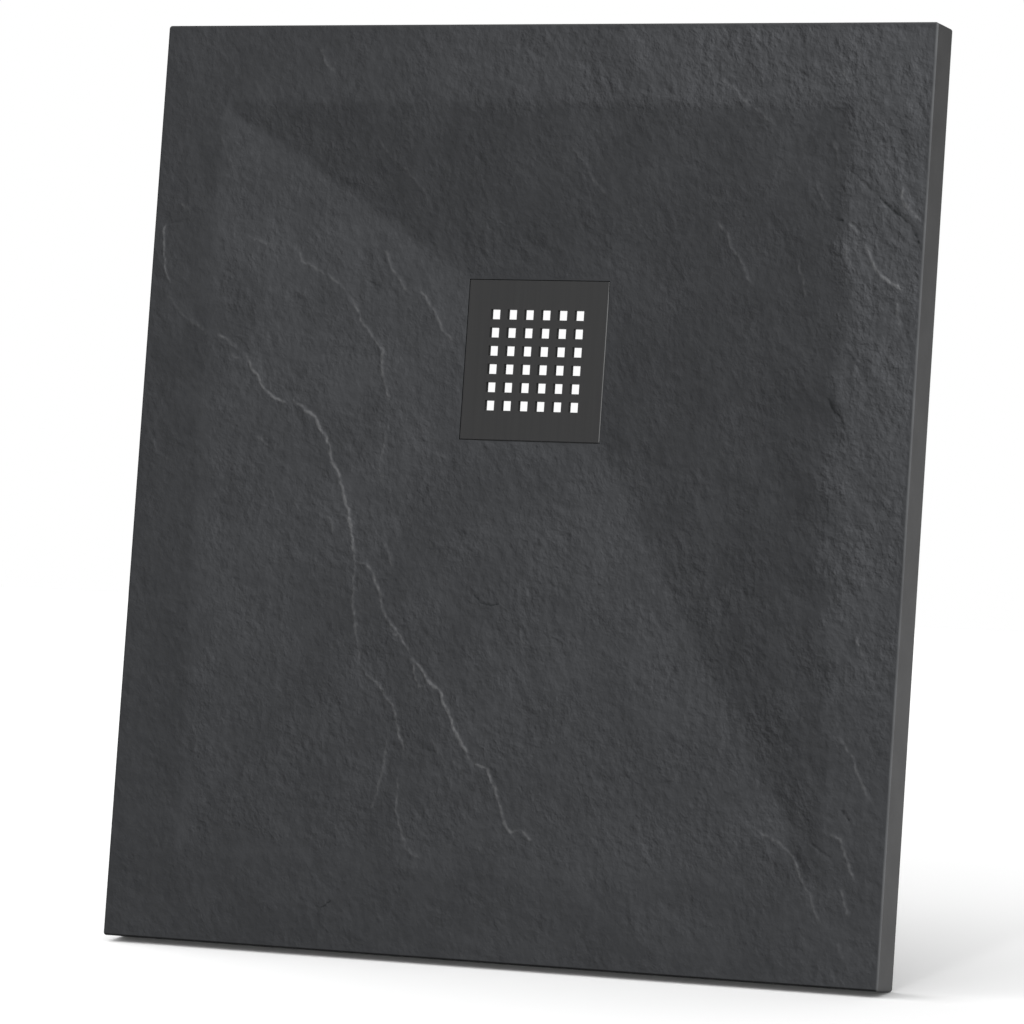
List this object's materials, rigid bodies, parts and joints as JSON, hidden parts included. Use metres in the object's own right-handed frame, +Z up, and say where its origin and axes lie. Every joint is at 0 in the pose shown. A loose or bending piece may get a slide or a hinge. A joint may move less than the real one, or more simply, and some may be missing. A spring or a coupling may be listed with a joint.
{
  "type": "shower tray",
  "caption": "Low rectangular slate-effect shower tray with a flat rim, falls to an off-centre drain and a lift-out grate with square holes.",
  "frame": {"origin": "centre of the flat underside that lies on the floor", "axes": "+Z up out of the tray's face, +Y towards the end with the drain, +X to the right when the drain end is the far one"},
  "size_m": [0.9, 1, 0.045],
  "materials": {
    "mineral_resin": "raw cast resin and stone filler",
    "slate_coat": "dark anthracite slate-effect gel coat",
    "brushed_steel_plate": "dark grey brushed steel",
    "stud_steel": "plain steel",
    "foot_rubber": "black rubber"
  },
  "bodies": {
    "tray": {"tray_casting": "mineral_resin", "gel_coat": "slate_coat"},
    "grate": {"grate_plate": "brushed_steel_plate", "grate_studs": "stud_steel", "foot_rear_left": "foot_rubber", "foot_rear_right": "foot_rubber", "foot_front_left": "foot_rubber", "foot_front_right": "foot_rubber"}
  },
  "joints": [
    {"name": "grate_lift", "type": "slide", "parent": "tray", "child": "grate", "axis": [0, 0, 1], "range_m": [0, 0.15]}
  ]
}
